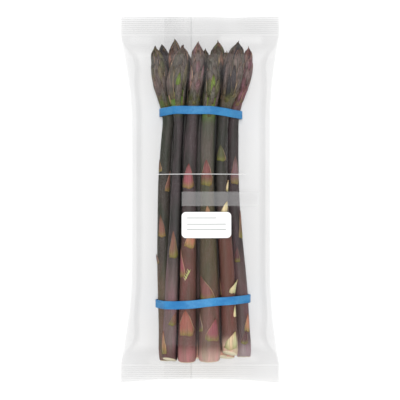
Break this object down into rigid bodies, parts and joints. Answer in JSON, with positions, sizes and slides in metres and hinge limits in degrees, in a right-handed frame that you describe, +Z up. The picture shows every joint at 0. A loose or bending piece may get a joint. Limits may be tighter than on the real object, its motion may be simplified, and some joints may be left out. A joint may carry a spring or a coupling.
{
  "type": "bagged bundle of asparagus",
  "caption": "Bundle of purple asparagus spears held by blue rubber bands and lying in a sealed clear film bag.",
  "frame": {"origin": "on the surface that the bag lies on, under the middle of the bag", "axes": "+Y along the spears from their cut ends to their tips, +X to the right seen from the front of the bag, +Z up out of the front of the bag"},
  "size_m": [0.12, 0.275, 0.043],
  "materials": {
    "spear_skin": "dusty purple-brown plant skin",
    "blue_rubber": "matt blue rubber",
    "clear_film": "clear film, slightly hazy"
  },
  "bodies": {
    "root": {"spear_01": "spear_skin", "spear_02": "spear_skin", "spear_03": "spear_skin", "spear_04": "spear_skin", "spear_05": "spear_skin", "spear_06": "spear_skin", "spear_07": "spear_skin", "spear_08": "spear_skin", "spear_09": "spear_skin", "spear_10": "spear_skin", "spear_11": "spear_skin", "spear_12": "spear_skin", "spear_13": "spear_skin", "band_lower": "blue_rubber", "band_upper": "blue_rubber", "film_bag": "clear_film"}
  },
  "joints": []
}
